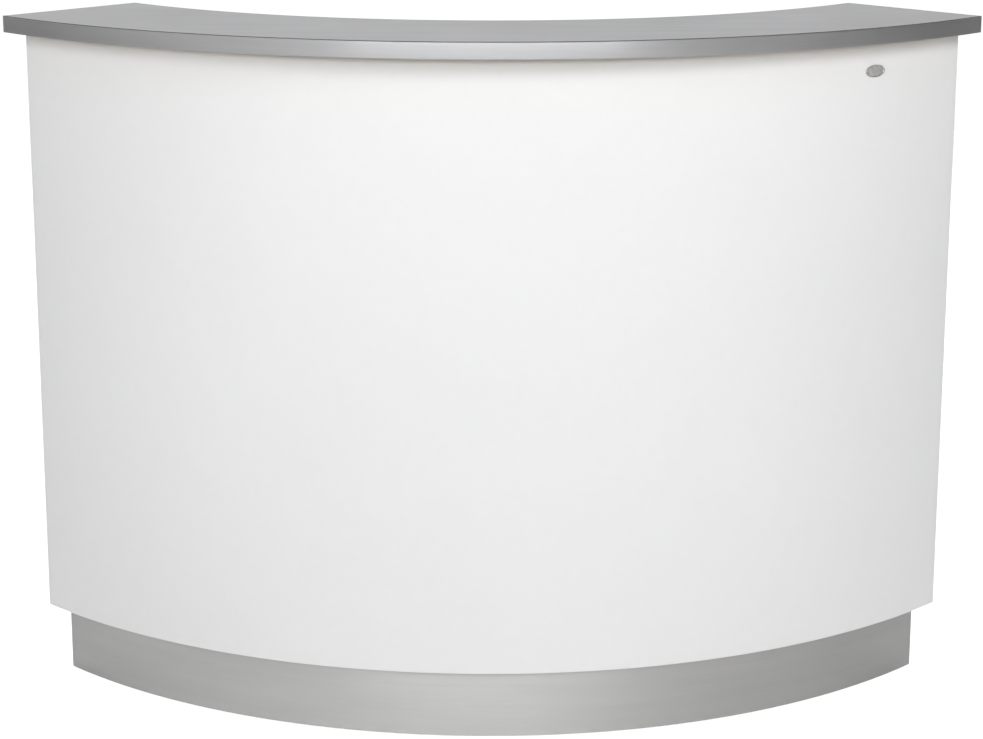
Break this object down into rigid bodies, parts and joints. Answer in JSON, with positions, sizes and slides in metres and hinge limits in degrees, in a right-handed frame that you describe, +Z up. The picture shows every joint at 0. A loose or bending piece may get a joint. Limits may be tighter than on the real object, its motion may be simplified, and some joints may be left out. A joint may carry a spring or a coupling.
{
  "type": "curved retail checkout counter",
  "caption": "Quarter-ring checkout counter with a steel-clad top, bent white front, recessed steel plinth, and a staff side with worktop, till drawer and cupboard.",
  "frame": {"origin": "on the floor, at the centre of the overall bounding box", "axes": "+Z up, -Y towards the customer (the bent front), +Y towards the staff side, +X along the width, to the right as the customer sees it"},
  "size_m": [1.509, 0.6498, 1.09],
  "materials": {
    "black_plastic": "moulded black plastic",
    "brushed_steel_kick": "brushed along its length, satin",
    "brushed_steel_top": "horizontal brushed grain, satin",
    "grey_plastic": "moulded grey plastic",
    "grey_steel": "grey powder-coated steel",
    "raw_board": "raw bendable board",
    "satin_nickel": "satin nickel",
    "white_edging": "white plastic edging",
    "white_laminate": "white satin laminate",
    "white_melamine": "white melamine-faced board",
    "zinc_steel": "zinc-plated folded steel"
  },
  "bodies": {
    "carcass": {"badge": "satin_nickel", "carcass_screws": "zinc_steel", "cupboard_shelf": "white_melamine", "cupboard_side_inner": "white_melamine", "cupboard_side_outer": "white_melamine", "deck": "white_melamine", "drawer_side_inner": "white_melamine", "drawer_side_outer": "white_melamine", "drawer_unit_board": "white_melamine", "front_laminate": "white_laminate", "front_panel": "raw_board", "gable_left": "white_melamine", "gable_right": "white_melamine", "grommet_ring": "grey_plastic", "hinge_leaves_side": "zinc_steel", "kick_plate": "brushed_steel_kick", "leg_sockets": "black_plastic", "lock_strike": "zinc_steel", "middle_filler": "white_melamine", "plinth_end_left": "raw_board", "plinth_end_right": "raw_board", "plinth_rail": "raw_board", "plinth_rib": "raw_board", "riser_left": "white_melamine", "riser_middle_left": "white_melamine", "riser_middle_right": "white_melamine", "riser_right": "white_melamine", "shelf_pegs": "zinc_steel", "slides_cabinet": "zinc_steel", "top_core": "raw_board", "top_sheet": "brushed_steel_top", "top_strip_front": "brushed_steel_top", "top_strip_rear": "brushed_steel_top", "worktop": "white_melamine", "worktop_edging": "white_edging"},
    "till": {"till_box": "grey_steel", "till_front": "white_melamine", "till_tray": "black_plastic", "till_cross_divider": "black_plastic", "till_dividers": "black_plastic", "till_handle": "satin_nickel", "till_slides_inner": "zinc_steel", "till_lock_barrel": "satin_nickel"},
    "till_runner_middle": {"till_slides_middle": "zinc_steel"},
    "till_lock": {"till_lock_plug": "satin_nickel", "till_lock_cam": "satin_nickel"},
    "drawer": {"drawer_box": "grey_steel", "drawer_front": "white_melamine", "drawer_handle": "satin_nickel", "drawer_slides_inner": "zinc_steel"},
    "drawer_runner_middle": {"drawer_slides_middle": "zinc_steel"},
    "cupboard_door": {"door": "white_melamine", "door_handle": "satin_nickel", "hinge_leaves_door": "zinc_steel"},
    "grommet_lid": {"grommet_cap": "grey_plastic"},
    "foot_front_centre_body": {"foot_front_centre": "black_plastic"},
    "foot_front_left_body": {"foot_front_left": "black_plastic"},
    "foot_front_right_body": {"foot_front_right": "black_plastic"},
    "foot_rear_left_body": {"foot_rear_left": "black_plastic"},
    "foot_rear_right_body": {"foot_rear_right": "black_plastic"}
  },
  "joints": [
    {"name": "till_slide", "type": "slide", "parent": "carcass", "child": "till", "axis": [0.3827, 0.9239, 0], "range_m": [0, 0.28]},
    {"name": "till_runner_slide", "type": "slide", "parent": "carcass", "child": "till_runner_middle", "axis": [0.3827, 0.9239, 0], "range_m": [0, 0.14]},
    {"name": "till_lock_turn", "type": "hinge", "parent": "till", "child": "till_lock", "pos_m": [-0.23057, 0.18546, 0.828], "axis": [-0.3827, -0.9239, 0], "range_deg": [0, 90]},
    {"name": "drawer_slide", "type": "slide", "parent": "carcass", "child": "drawer", "axis": [0.3827, 0.9239, 0], "range_m": [0, 0.28]},
    {"name": "drawer_runner_slide", "type": "slide", "parent": "carcass", "child": "drawer_runner_middle", "axis": [0.3827, 0.9239, 0], "range_m": [0, 0.14]},
    {"name": "door_hinge", "type": "hinge", "parent": "carcass", "child": "cupboard_door", "pos_m": [0.43417, 0.27142, 0.497], "axis": [0, 0, -1], "range_deg": [0, 105]},
    {"name": "grommet_turn", "type": "hinge", "parent": "carcass", "child": "grommet_lid", "pos_m": [0, -0.1879, 0.88], "axis": [0, 0, 1], "continuous": true},
    {"name": "foot_front_centre_adjust", "type": "slide", "parent": "carcass", "child": "foot_front_centre_body", "axis": [0, 0, 1], "range_m": [-0.012, 0]},
    {"name": "foot_front_left_adjust", "type": "slide", "parent": "carcass", "child": "foot_front_left_body", "axis": [0, 0, 1], "range_m": [-0.012, 0]},
    {"name": "foot_front_right_adjust", "type": "slide", "parent": "carcass", "child": "foot_front_right_body", "axis": [0, 0, 1], "range_m": [-0.012, 0]},
    {"name": "foot_rear_left_adjust", "type": "slide", "parent": "carcass", "child": "foot_rear_left_body", "axis": [0, 0, 1], "range_m": [-0.012, 0]},
    {"name": "foot_rear_right_adjust", "type": "slide", "parent": "carcass", "child": "foot_rear_right_body", "axis": [0, 0, 1], "range_m": [-0.012, 0]}
  ],
  "couplings": [
    {"joint": "till_runner_slide", "follows": "till_slide", "ratio": 0.5},
    {"joint": "drawer_runner_slide", "follows": "drawer_slide", "ratio": 0.5}
  ]
}
